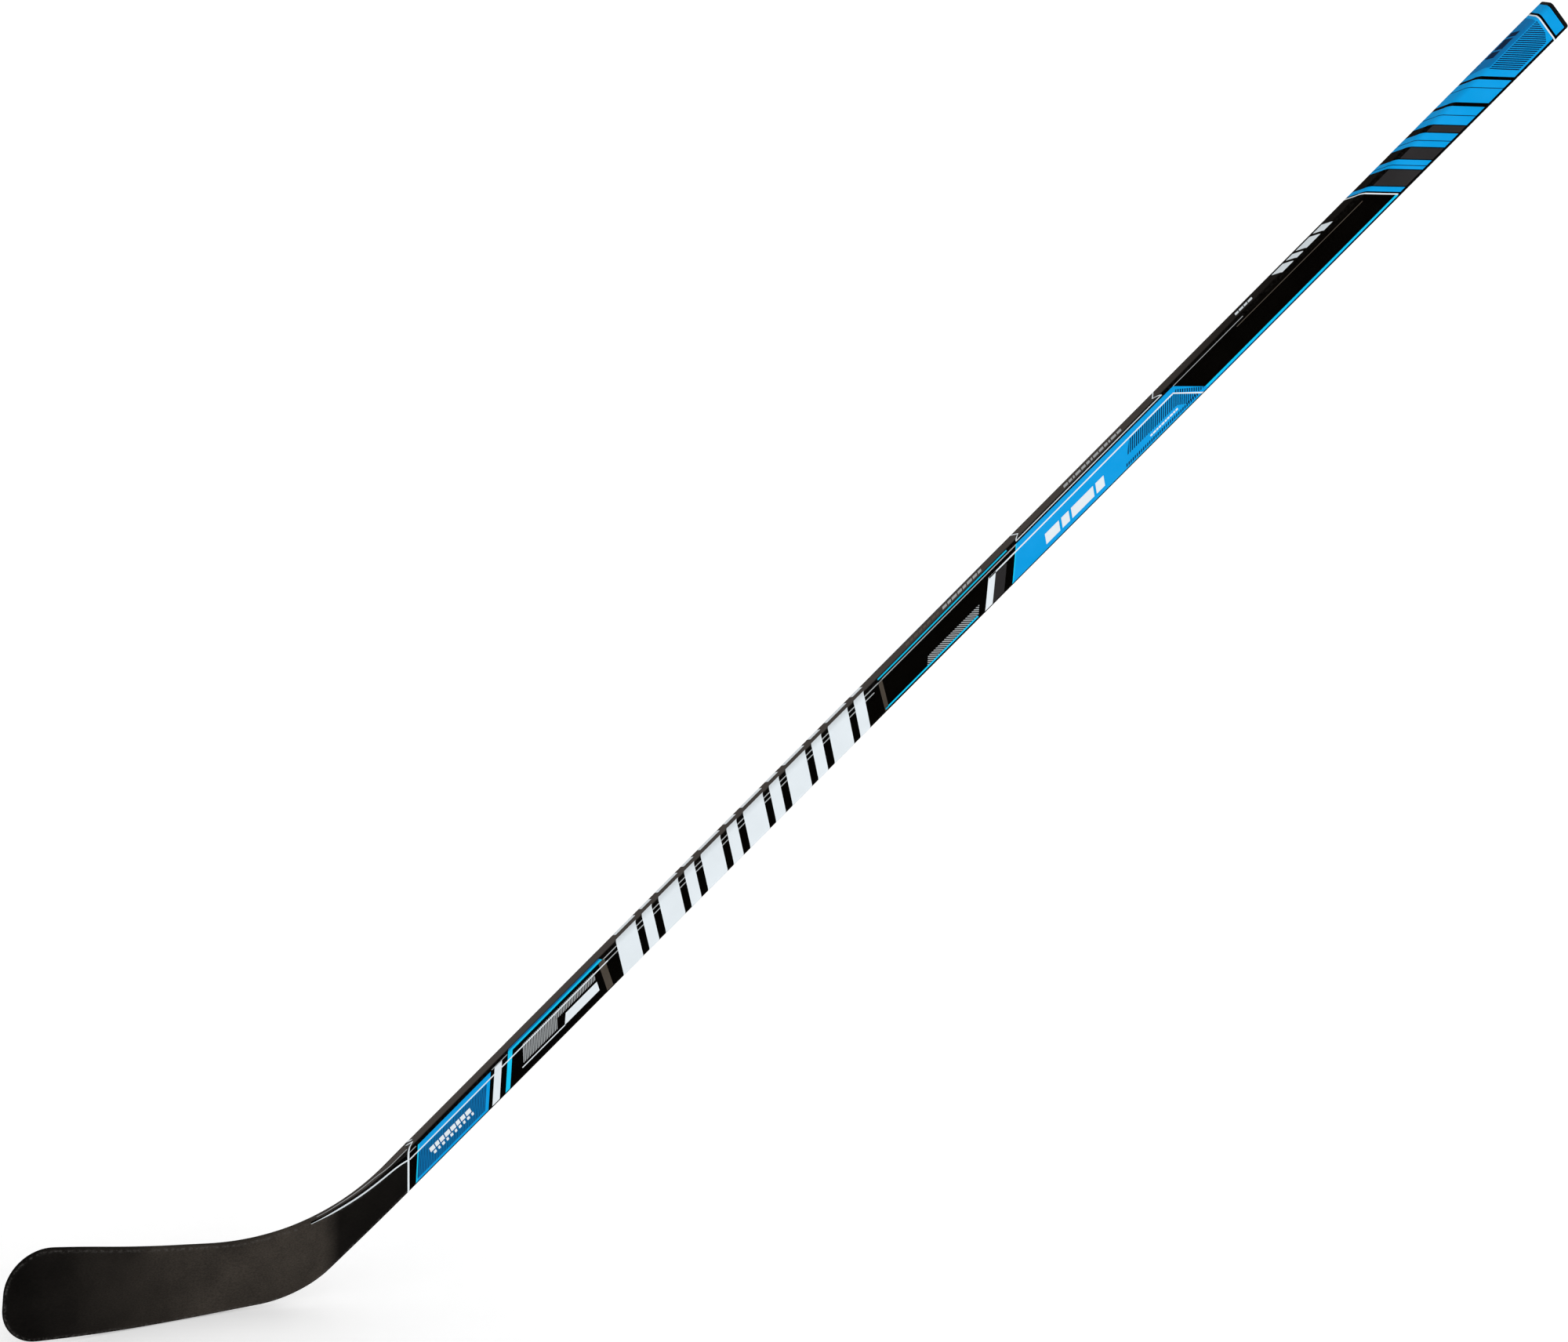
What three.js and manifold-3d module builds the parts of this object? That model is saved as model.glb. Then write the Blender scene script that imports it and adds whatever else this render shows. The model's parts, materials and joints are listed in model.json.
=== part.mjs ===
// Ice hockey stick: a hollow composite shaft fused to a curved composite blade, with a pull-out end plug.
//
// Frame: millimetres, +Z up. The shaft leans towards +X, the toe points to -X and the forehand (the hollow
// side of the blade) faces -Y. Everything is drawn from the heel corner, where the line of the shaft's
// lower narrow face meets the ice in the middle of the shaft's thickness. The whole stick is then moved,
// without turning it, so that its box stands on z = 0 with its middle over the origin.
//
// The blade is drawn in its own upright plane: "reach" runs from the heel towards the toe (reach = -x)
// and "height" is z. Its outline, its thickness and its sideways curve are three separate functions.

import * as THREE from 'three';
import { mergeVertices } from 'three/addons/utils/BufferGeometryUtils.js';
import Module from 'manifold-3d';

const wasm = await Module();
wasm.setup();

// ---------- driving dimensions (mm, degrees turned to radians) ----------
const DEG = Math.PI / 180;
const LIE = 47 * DEG; // shaft above the ice
const LENGTH = 1571; // heel corner to the end of the butt plug, along the shaft
const WIDTH = 29; // wide face of the shaft
const DEPTH = 19; // narrow face of the shaft
const CORNER = 4; // rounding of the shaft's long edges
const WALL = 2; // shaft tube
const SKIN = 1.2; // blade laminate
const CORE_INSET = 1.8; // from the blade's surface to the pieces inside it
const GAP = 0.3; // left between neighbouring pieces

// Joint of shaft and blade: a 45 degree scarf seen on the wide faces.
const SEAM = 154.2; // middle of the seam, from the heel corner along the shaft
const SEAM_BAND = 2; // filler ring in the seam, along the shaft
const TENON_UP = 66; // tenon above the middle of the seam
const TENON_DOWN = 20; // and below it
const GLUE = 0.8; // hot-melt sleeve round the tenon
const GLUE_CLEARANCE = 0.2; // either side of the sleeve
const GLUE_SHORT = 4; // the sleeve stops this far below the end of the tenon
const FOAM_ABOVE = 2; // foam dam above the tenon
const FOAM_LENGTH = 25;
const SEAM_STOCK = 30; // left on past the seam before it is cut

// Butt plug.
const RIM = 3.5; // thickness of the part that shows
const RIM_ROUND = 1.5; // bevel round its end
const SHANK = 50; // part inside the tube
const SHANK_TAPER = 0.4; // each side, so that it starts easily

// Blade outline: corners as [reach, height, rounding].
const HEEL_UP = 7; // the heel rounding turns on the shaft's lower edge, this far up
const HEEL_ROUND = 95;
const ROCKER = [125.6, -3.7, 1000];
const TOE_LOW = [247, 8.3, 30.5];
const TOE_HIGH = [241, 88, 35.5];
const TOP_EDGE = [130, 69.3, 660];
const THROAT_UP = 53; // the throat rounding turns on the shaft's upper edge, this far up
const THROAT_ROUND = 189;
const TOE_TIP = 0.45; // foremost point, as a share of the way from the low to the high toe corner

// Blade section, against the share of the way from the seam (0) to the toe (1).
const THIN_FROM = 0.45; // the neck has thinned to the blade by here
const BLADE_HALF = 3.4; // half thickness there
const TOE_HALF = 2.6; // half thickness at the toe
const EDGE_ROUND = 0.85; // edge rounding as a share of the half thickness

// Sideways shape of the blade.
const CURVE_START = -14; // reach where it leaves the plane of the shaft
const CURVE_LENGTH = 280;
const CURVE_DEPTH = 50; // at the end of that length
const CURVE_POWER = 1.8;
const OPEN_ANGLE = 10 * DEG; // the face leans back towards the toe
const OPEN_REACH = 200; // reach at which it has leant fully
const OPEN_HEIGHT = 35; // height it leans about

// Sections along the blade, closer together towards the toe.
const SECTIONS = 34;
const SECTION_EASE = 1.5;

// Share of the way along the blade and up it where the inner pieces meet.
const HOSEL_END = 0.22;
const CORE_END = 0.95;
const BRIDGE_LOW = 0.45;
const BRIDGE_HIGH = 0.55;

const material = (color, roughness, metalness = 0) => new THREE.MeshStandardMaterial({ color, roughness, metalness });
const GLOSS_CARBON = material(0x0b0a0a, 0.22, 0.1);
const MATT_CARBON = material(0x23201e, 0.62, 0.05);
const WHITE_FILLER = material(0xe4ecf0, 0.4);
const PLUG_RUBBER = material(0x101010, 0.7);
const PALE_FOAM = material(0xd8cfa8, 0.9);
const GREY_RESIN = material(0x6a665f, 0.6);
const AMBER_GLUE = material(0xb08a4a, 0.45);

// ---------- booleans ----------
function toSolid(geometry) {
  const bare = geometry.clone();
  bare.deleteAttribute('normal');
  bare.deleteAttribute('uv');
  const merged = mergeVertices(bare, 1e-4);
  return new wasm.Manifold(new wasm.Mesh({
    numProp: 3,
    vertProperties: new Float32Array(merged.attributes.position.array),
    triVerts: new Uint32Array(merged.index.array),
  }));
}

function toGeometry(solid) {
  const mesh = solid.getMesh();
  const geometry = new THREE.BufferGeometry();
  geometry.setAttribute('position', new THREE.BufferAttribute(new Float32Array(mesh.vertProperties), 3));
  geometry.setIndex(new THREE.BufferAttribute(new Uint32Array(mesh.triVerts), 1));
  geometry.computeVertexNormals();
  return geometry;
}

function piece(name, geometry, finish) {
  const mesh = new THREE.Mesh(geometry, finish);
  mesh.name = name;
  return mesh;
}

// ---------- shaft: drawn along local +X with the lower narrow face on local z = 0 ----------
const MIDDLE = WIDTH / 2;

function roundedRectangle(inset, PathType = THREE.Shape) {
  const x = WIDTH / 2 - inset;
  const y = DEPTH / 2 - inset;
  const r = Math.max(CORNER - inset, 1);
  const outline = new PathType();
  outline.moveTo(x, r - y);
  outline.absarc(x - r, y - r, r, 0, Math.PI / 2);
  outline.absarc(r - x, y - r, r, Math.PI / 2, Math.PI);
  outline.absarc(r - x, r - y, r, Math.PI, 1.5 * Math.PI);
  outline.absarc(x - r, r - y, r, 1.5 * Math.PI, 2 * Math.PI);
  return outline;
}

// Section across the shaft to its place: shape x becomes local z, shape z becomes local x.
const ALONG_SHAFT = new THREE.Matrix4().makeBasis(
  new THREE.Vector3(0, 0, 1),
  new THREE.Vector3(0, -1, 0),
  new THREE.Vector3(1, 0, 0),
);

function bar(from, to, inset, hollowInset = 0, bevel = 0) {
  const shape = roundedRectangle(inset + bevel);
  if (hollowInset > 0) shape.holes.push(roundedRectangle(hollowInset, THREE.Path));
  const geometry = new THREE.ExtrudeGeometry(shape, {
    depth: to - from - bevel,
    curveSegments: 4,
    bevelEnabled: bevel > 0,
    bevelThickness: bevel,
    bevelSize: bevel,
    bevelSegments: 3,
  });
  return geometry.applyMatrix4(ALONG_SHAFT).translate(from, 0, MIDDLE);
}

// Everything on the blade side of the seam, moved "up" the shaft.
function belowSeam(up) {
  const size = 120;
  const block = new THREE.BoxGeometry(size, size, size).translate(-size / 2, 0, 0);
  return toSolid(block.rotateY(Math.PI / 4).translate(SEAM + up, 0, MIDDLE));
}

const seamHalf = SEAM_BAND / 2;
const tubeEnd = LENGTH - RIM - GAP;

function shaftTube() {
  const tube = toSolid(bar(SEAM - SEAM_STOCK, tubeEnd, 0, WALL));
  return toGeometry(tube.subtract(belowSeam(seamHalf)));
}

function seamFiller() {
  const ring = toSolid(bar(SEAM - SEAM_STOCK, SEAM + SEAM_STOCK, 0, WALL));
  const low = belowSeam(GAP - seamHalf);
  return toGeometry(ring.intersect(belowSeam(seamHalf - GAP)).subtract(low));
}

function glueSleeve() {
  const inset = WALL + GLUE_CLEARANCE;
  const sleeve = toSolid(bar(SEAM - SEAM_STOCK, SEAM + TENON_UP - GLUE_SHORT, inset, inset + GLUE));
  return toGeometry(sleeve.subtract(belowSeam(seamHalf)));
}

function foamDam() {
  const from = SEAM + TENON_UP + FOAM_ABOVE;
  return bar(from, from + FOAM_LENGTH, WALL + GAP);
}

// Bevelled rim on a shank that narrows a little towards its inner end.
function buttPlug() {
  const rim = toSolid(bar(LENGTH - RIM, LENGTH, 0));
  const round = toSolid(bar(LENGTH - RIM - RIM_ROUND, LENGTH, 0, 0, RIM_ROUND));
  const shank = bar(LENGTH - RIM - SHANK, LENGTH - RIM / 2, WALL + GAP);
  const place = shank.attributes.position;
  for (let i = 0; i < place.count; i += 1) {
    const inner = place.getX(i) < LENGTH - RIM - GAP;
    if (!inner) continue;
    place.setY(i, place.getY(i) * (1 - (2 * SHANK_TAPER) / DEPTH));
    place.setZ(i, MIDDLE + (place.getZ(i) - MIDDLE) * (1 - (2 * SHANK_TAPER) / WIDTH));
  }
  return toGeometry(rim.intersect(round).add(toSolid(shank)));
}

// ---------- blade outline ----------
const UP_SHAFT = new THREE.Vector2(-Math.cos(LIE), Math.sin(LIE));
const ACROSS_SHAFT = new THREE.Vector2(Math.sin(LIE), Math.cos(LIE));

function onShaft(up, across) {
  return UP_SHAFT.clone().multiplyScalar(up).addScaledVector(ACROSS_SHAFT, across);
}

// Straight runs joined by arcs: corners as [point, rounding].
function roundedRun(corners) {
  const run = new THREE.Path();
  run.moveTo(corners[0][0].x, corners[0][0].y);
  for (let i = 1; i < corners.length - 1; i += 1) {
    const [corner, radius] = corners[i];
    const back = corners[i - 1][0].clone().sub(corner).normalize();
    const ahead = corners[i + 1][0].clone().sub(corner).normalize();
    const half = Math.acos(back.dot(ahead)) / 2;
    const enter = corner.clone().addScaledVector(back, radius / Math.tan(half));
    const leave = corner.clone().addScaledVector(ahead, radius / Math.tan(half));
    const inward = back.clone().add(ahead).normalize();
    const centre = corner.clone().addScaledVector(inward, radius / Math.sin(half));
    const clockwise = back.cross(ahead) > 0;
    run.lineTo(enter.x, enter.y);
    run.absarc(centre.x, centre.y, radius, enter.sub(centre).angle(), leave.sub(centre).angle(), clockwise);
  }
  const last = corners[corners.length - 1][0];
  run.lineTo(last.x, last.y);
  return run;
}

const corner = ([reach, height, radius]) => [new THREE.Vector2(reach, height), radius];
const toeLow = corner(TOE_LOW);
const toeHigh = corner(TOE_HIGH);
const toeTip = [toeLow[0].clone().lerp(toeHigh[0], TOE_TIP), 0];
const lowerEdge = roundedRun([
  [onShaft(SEAM - WIDTH / 2, 0), 0], [onShaft(HEEL_UP, 0), HEEL_ROUND], corner(ROCKER), toeLow, toeTip,
]);
const upperEdge = roundedRun([
  [onShaft(SEAM + WIDTH / 2, WIDTH), 0], [onShaft(THROAT_UP, WIDTH), THROAT_ROUND], corner(TOP_EDGE), toeHigh, toeTip,
]);

// A point on either edge; a share below 0 carries on up the shaft.
function edgePoint(edge, share) {
  const point = edge.getPointAt(Math.max(share, 0));
  return point.addScaledVector(UP_SHAFT, Math.max(-share, 0) * edge.getLength());
}

function halfThickness(share) {
  if (share < THIN_FROM) {
    return THREE.MathUtils.lerp(DEPTH / 2, BLADE_HALF, THREE.MathUtils.smoothstep(share, 0, THIN_FROM));
  }
  return THREE.MathUtils.lerp(BLADE_HALF, TOE_HALF, THREE.MathUtils.smoothstep(share, THIN_FROM, 1));
}

// Sideways place of the blade's middle surface.
function sideways(reach, height) {
  const along = Math.max(reach - CURVE_START, 0) / CURVE_LENGTH;
  const lean = Math.tan(OPEN_ANGLE) * THREE.MathUtils.smoothstep(reach, 0, OPEN_REACH);
  return lean * (height - OPEN_HEIGHT) - CURVE_DEPTH * along ** CURVE_POWER;
}

// ---------- blade solids ----------
// Every run uses the same sections, so that a skin and the core under it bend at the same places.
const SECTION_SHARES = Array.from({ length: SECTIONS }, (_, i) => 1 - (1 - i / SECTIONS) ** SECTION_EASE);

// A closed run of rounded sections from share "from" to share "to". Each section spans part of the way
// (low to high) from the lower to the upper edge, set in from the blade's own surface by "inset".
function bladeRun({ from, to, low = 0, high = 1, inset = 0, cornerSteps = 3 }) {
  const shares = [from, ...SECTION_SHARES.filter((share) => share > from && share < to), to];
  const sides = 4 * (cornerSteps + 1);
  const geometry = new THREE.CylinderGeometry(1, 1, 1, sides, shares.length - 1);
  const place = geometry.attributes.position;
  for (let i = 0; i < place.count; i += 1) {
    const share = shares[Math.round((place.getY(i) + 0.5) * (shares.length - 1))];
    const bottom = edgePoint(lowerEdge, share);
    const top = edgePoint(upperEdge, share);
    const chord = top.distanceTo(bottom);
    const start = low > 0 ? low * chord : inset;
    const end = high < 1 ? high * chord : chord - inset;
    const halfHeight = (end - start) / 2;
    const halfDepth = halfThickness(share) - inset;
    const round = Math.min(Math.max(CORNER - inset, 1), EDGE_ROUND * halfDepth, EDGE_ROUND * halfHeight);
    let up = (start + end) / 2;
    let out = 0;
    const onRim = Math.hypot(place.getX(i), place.getZ(i)) > 0.5;
    if (onRim) {
      const turn = Math.atan2(place.getX(i), place.getZ(i)) / (2 * Math.PI);
      const step = Math.round((turn < 0 ? turn + 1 : turn) * sides) % sides;
      const quarter = Math.floor(step / (cornerSteps + 1));
      const angle = (quarter + (step % (cornerSteps + 1)) / cornerSteps) * (Math.PI / 2);
      const upSide = quarter === 0 || quarter === 3 ? 1 : -1;
      const outSide = quarter < 2 ? 1 : -1;
      up += upSide * (halfHeight - round) + round * Math.cos(angle);
      out = outSide * (halfDepth - round) + round * Math.sin(angle);
    }
    const spot = bottom.lerp(top, up / chord);
    place.setXYZ(i, -spot.x, sideways(spot.x, spot.y) + out, spot.y);
  }
  return geometry;
}

// The space behind the blade's middle surface, moved sideways by "shift".
function behind(shift) {
  const [reachFrom, reachTo] = [-180, 300];
  const [heightFrom, heightTo] = [-20, 200];
  const thick = 40;
  const block = new THREE.BoxGeometry(1, 1, 1, 30, 1, 4);
  const place = block.attributes.position;
  for (let i = 0; i < place.count; i += 1) {
    const reach = THREE.MathUtils.lerp(reachTo, reachFrom, place.getX(i) + 0.5);
    const height = THREE.MathUtils.lerp(heightFrom, heightTo, place.getZ(i) + 0.5);
    const back = shift + (place.getY(i) + 0.5) * thick;
    place.setXYZ(i, -reach, sideways(reach, height) + back, height);
  }
  return toSolid(block);
}

const outside = toSolid(bladeRun({ from: 0.002, to: 0.998 }));
const hollow = toSolid(bladeRun({ from: -0.1, to: CORE_END + 0.02, inset: SKIN, cornerSteps: 2 }));
const shell = outside.subtract(hollow);
const frontSkin = () => toGeometry(shell.subtract(behind(-GAP / 2)));
const backSkin = () => toGeometry(shell.intersect(behind(GAP / 2)));

function core(low, high) {
  return bladeRun({ from: HOSEL_END + 0.003, to: CORE_END, low, high, inset: CORE_INSET, cornerSteps: 2 });
}

// The solid neck of the blade with the tenon that plugs into the shaft.
function hosel() {
  const neck = toSolid(bladeRun({ from: 0.004, to: HOSEL_END, inset: CORE_INSET, cornerSteps: 2 }));
  const tenonInset = WALL + 2 * GLUE_CLEARANCE + GLUE;
  const tenon = bar(SEAM - TENON_DOWN, SEAM + TENON_UP, tenonInset).rotateY(-LIE);
  return toGeometry(neck.add(toSolid(tenon)));
}

// ---------- assembly ----------
const shaft = new THREE.Group();
shaft.name = 'shaft_assembly';
shaft.rotation.y = -LIE;
shaft.add(
  piece('shaft_tube', shaftTube(), GLOSS_CARBON),
  piece('seam_filler', seamFiller(), WHITE_FILLER),
  piece('tenon_glue', glueSleeve(), AMBER_GLUE),
  piece('shaft_foam_dam', foamDam(), PALE_FOAM),
  piece('butt_plug', buttPlug(), PLUG_RUBBER),
);

const blade = new THREE.Group();
blade.name = 'blade_assembly';
blade.add(
  piece('blade_hosel', hosel(), GREY_RESIN),
  piece('blade_front_skin', frontSkin(), MATT_CARBON),
  piece('blade_back_skin', backSkin(), MATT_CARBON),
  piece('blade_core_lower', core(0, BRIDGE_LOW - 0.005), PALE_FOAM),
  piece('blade_core_bridge', core(BRIDGE_LOW, BRIDGE_HIGH), GREY_RESIN),
  piece('blade_core_upper', core(BRIDGE_HIGH + 0.005, 1), PALE_FOAM),
);

const stick = new THREE.Group();
stick.name = 'ice_hockey_stick';
stick.add(shaft, blade);

const box = new THREE.Box3().setFromObject(stick, true);
const middle = box.getCenter(new THREE.Vector3());
stick.position.set(-middle.x, -middle.y, -box.min.z);
export default stick;
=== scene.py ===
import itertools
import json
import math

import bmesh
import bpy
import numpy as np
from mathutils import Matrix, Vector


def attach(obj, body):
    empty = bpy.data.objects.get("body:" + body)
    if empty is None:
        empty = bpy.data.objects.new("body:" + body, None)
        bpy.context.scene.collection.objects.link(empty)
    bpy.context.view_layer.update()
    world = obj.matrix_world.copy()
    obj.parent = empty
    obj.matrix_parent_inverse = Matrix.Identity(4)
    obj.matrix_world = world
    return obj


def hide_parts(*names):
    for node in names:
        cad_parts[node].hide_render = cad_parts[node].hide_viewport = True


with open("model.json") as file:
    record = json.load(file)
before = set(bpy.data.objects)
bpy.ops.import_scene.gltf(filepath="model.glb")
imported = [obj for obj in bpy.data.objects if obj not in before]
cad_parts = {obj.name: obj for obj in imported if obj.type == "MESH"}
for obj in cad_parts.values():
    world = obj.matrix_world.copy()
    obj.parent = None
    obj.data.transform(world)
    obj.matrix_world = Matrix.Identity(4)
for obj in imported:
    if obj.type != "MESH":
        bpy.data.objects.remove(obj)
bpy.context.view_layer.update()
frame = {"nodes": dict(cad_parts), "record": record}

# Looks of an ice hockey stick: finer meshes for all that shows, printed graphics, materials, floor, light
# and camera. Lengths are millimetres until put() and at_blade() turn them into places in metres.
#
# A point on the shaft has three coordinates:
#   along  - from the heel corner up the shaft
#   girth  - round the surface, from the middle of the forehand face towards the upper narrow face
#   lift   - above the surface
# A point on the blade has a reach (from the heel corner towards the toe), a height and a place sideways,
# out, which is positive towards the backhand. The shaft's section has across (up the wide face) and out.

MM = 0.001

# --- dimensions shared with the solids (mm) ---
LIE = math.radians(47)
LENGTH = 1571
WIDTH = 29
DEPTH = 19
CORNER = 4
WALL = 2
SKIN = 1.2
GAP = 0.3

SEAM = 154.2
SEAM_HALF = 1
RIM = 3.5
RIM_ROUND = 1.5
SHANK = 50
SHANK_TAPER = 0.4

HEEL_UP = 7
HEEL_ROUND = 95
ROCKER = (125.6, -3.7, 1000)
TOE_LOW = (247, 8.3, 30.5)
TOE_HIGH = (241, 88, 35.5)
TOP_EDGE = (130, 69.3, 660)
THROAT_UP = 53
THROAT_ROUND = 189
TOE_TIP = 0.45

THIN_FROM = 0.45
BLADE_HALF = 3.4
TOE_HALF = 2.6
EDGE_ROUND = 0.85

CURVE_START = -14
CURVE_LENGTH = 280
CURVE_DEPTH = 50
CURVE_POWER = 1.8
OPEN_ANGLE = math.radians(10)
OPEN_REACH = 200
OPEN_HEIGHT = 35

# --- the shaft's own axes in the frame ---
MOUNTS = {mount["name"]: mount for mount in frame["record"]["mounts"]}
ALONG = Vector(MOUNTS["butt_end"]["axis"]).normalized()
ACROSS = Vector(MOUNTS["grip_upper_face"]["axis"]).normalized()
OUT = Vector(MOUNTS["shaft_back_face"]["axis"]).normalized()
MIDLINE = Vector(MOUNTS["butt_end"]["pos_m"]) - ALONG * (LENGTH * MM)
HEEL = MIDLINE - ACROSS * (WIDTH / 2 * MM)
REACH = Vector((-1, 0, 0))
UP = Vector((0, 0, 1))


def put(along, across, out):
    return MIDLINE + (ALONG * along + ACROSS * across + OUT * out) * MM


def at_blade(reach, height, out):
    return HEEL + (REACH * reach + UP * height + OUT * out) * MM


# --- girth round the shaft ---
FLAT = WIDTH / 2 - CORNER
SIDE = DEPTH / 2 - CORNER
ARC = CORNER * math.pi / 2
NARROW = FLAT + ARC
NARROW_MIDDLE = NARROW + SIDE
BACK_MIDDLE = 2 * NARROW_MIDDLE
ARC_STEPS = 6
SOFT = 0.25  # support edge on the flats, next to each corner


def quarter(girth):
    """(1 up or -1 down, 1 backhand or -1 forehand, girth from that face's middle) of a girth."""
    girth = (girth + BACK_MIDDLE) % (2 * BACK_MIDDLE) - BACK_MIDDLE
    left = min(abs(girth), BACK_MIDDLE - abs(girth))
    return math.copysign(1, girth), -1 if abs(girth) <= NARROW_MIDDLE else 1, left


def wrap(girth, lift=0.0):
    """(across, out) of a point at a girth."""
    side, face, left = quarter(girth)
    if left <= FLAT:
        return side * left, face * (DEPTH / 2 + lift)
    if left > NARROW:
        return side * (WIDTH / 2 + lift), face * (NARROW_MIDDLE - left)
    turn = (left - FLAT) / CORNER
    radius = CORNER + lift
    return side * (FLAT + radius * math.sin(turn)), face * (SIDE + radius * math.cos(turn))


def corner_share(girth):
    """1 in the middle of a rounded corner, 0 on the flats."""
    return max(0.0, 1 - abs(quarter(girth)[2] - FLAT - ARC / 2) / (ARC / 2))


def folds(low, high):
    """Girths at which a printed sheet bends between low and high."""
    lines = []
    for start in [turn * BACK_MIDDLE + side for turn in range(-1, 3) for side in (FLAT, -NARROW)]:
        lines += [start - SOFT, start + ARC + SOFT]
        lines += [start + ARC * step / ARC_STEPS for step in range(ARC_STEPS + 1)]
    return [line for line in sorted(lines) if low < line < high]


# --- meshes ---
def add_object(name, data):
    thing = bpy.data.objects.new(name, data)
    bpy.context.collection.objects.link(thing)
    return thing


def make(name, verts, faces, slot, look, grain, edge=None, body="stick", smooth=35):
    """A mesh object that rides on a body. grain is where the surface pattern is looked up (mm), edge is
    how near each vertex is to a worn edge (0 to 1), and on the blade how strong the painted highlight along
    its outline is; edges bent by more than smooth degrees stay sharp."""
    mesh = bpy.data.meshes.new(name)
    mesh.from_pydata([tuple(vert) for vert in verts], [], faces)
    mesh.validate()
    outward = bmesh.new()
    outward.from_mesh(mesh)
    bmesh.ops.recalc_face_normals(outward, faces=outward.faces)
    outward.to_mesh(mesh)
    outward.free()
    layers = (("grain", "FLOAT_VECTOR", "vector", grain),
              ("edge", "FLOAT", "value", edge or [0.0] * len(verts)))
    for layer, kind, field, values in layers:
        data = mesh.attributes.new(layer, kind, "POINT").data
        data.foreach_set(field, np.array(values, dtype=np.float32).ravel())
    mesh.shade_smooth()
    mesh.set_sharp_from_angle(angle=math.radians(smooth))
    mesh.materials.append(look)
    thing = add_object(name, mesh)
    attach(thing, body)
    return thing


def strip_faces(first, second, count, closed=True):
    """Quads between two rings of vertices that start at first and second."""
    last = count if closed else count - 1
    return [(first + i, first + (i + 1) % count, second + (i + 1) % count, second + i) for i in range(last)]


def grid_faces(first, rings, count, closed=True):
    """Quads between one ring and the next."""
    return [face for i in range(rings - 1)
            for face in strip_faces(first + i * count, first + (i + 1) * count, count, closed)]


# --- materials ---
def srgb(*levels):
    """Linear colour from 0..255 screen levels."""
    shares = [level / 255 for level in levels]
    return tuple(s / 12.92 if s <= 0.04045 else ((s + 0.055) / 1.055) ** 2.4 for s in shares)


class Nodes:
    """Short calls for wiring a node tree."""

    def __init__(self, tree):
        self.tree = tree

    def add(self, kind, values=None, **settings):
        node = self.tree.nodes.new("ShaderNode" + kind)
        for key, value in settings.items():
            setattr(node, key, value)
        for key, value in (values or {}).items():
            self.feed(node.inputs[key], value)
        return node

    def feed(self, socket, value):
        if isinstance(value, bpy.types.NodeSocket):
            self.tree.links.new(value, socket)
        else:
            socket.default_value = value

    def math(self, operation, first, second=0.0, clamp=False):
        node = self.add("Math", {0: first, 1: second}, operation=operation, use_clamp=clamp)
        return node.outputs[0]

    def mix(self, share, first, second, blend="MIX"):
        node = self.add("Mix", data_type="RGBA", blend_type=blend)
        self.feed(node.inputs["Factor"], share)
        self.feed(node.inputs["A"], first)
        self.feed(node.inputs["B"], second)
        return node.outputs["Result"]

    def ramp(self, value, low, high, to_low=0.0, to_high=1.0):
        node = self.add("MapRange", {"Value": value, "From Min": low, "From Max": high,
                                     "To Min": to_low, "To Max": to_high})
        return node.outputs["Result"]

    def steps(self, value, stops):
        """A grey level that follows (value, level) stops."""
        (low, _), (high, _) = stops[0], stops[-1]
        top = max(level for _, level in stops)
        node = self.add("ValToRGB", {"Fac": self.ramp(value, low, high)})
        bar = node.color_ramp
        for spot, _ in stops[1:-1]:
            bar.elements.new((spot - low) / (high - low))
        for element, (_, level) in zip(bar.elements, stops):
            element.color = (level / top,) * 3 + (1,)
        return self.mix(1.0, node.outputs["Color"], (top, top, top, 1), "MULTIPLY")

    def noise(self, place, scale, detail=3.0, roughness=0.5):
        node = self.add("TexNoise", {"Vector": place, "Scale": scale, "Detail": detail,
                                     "Roughness": roughness})
        return node.outputs["Fac"]


def solid(colour):
    return (*colour, 1.0)


PATCHY = (0.3, 0.7)  # the range that nearly all of a noise lies in
ROUGH_CHANGE = 0.06
ROUGH_LEAST = 0.03
CLOTH_SHOWS = 0.35  # how far the woven cloth shows through, in colour
CLOTH_RELIEF = 0.3  # and in relief
CLOTH_BRIGHTER = 2.5
CLOTH_GLINT = 0.0015
SCUFFS = {"scale": 0.35, "detail": 6.0, "roughness": 0.7}
SCUFFED = (0.45, 0.75)  # noise levels at which the scuffs start and are full
BUMP_STRENGTH = 0.4


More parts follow.
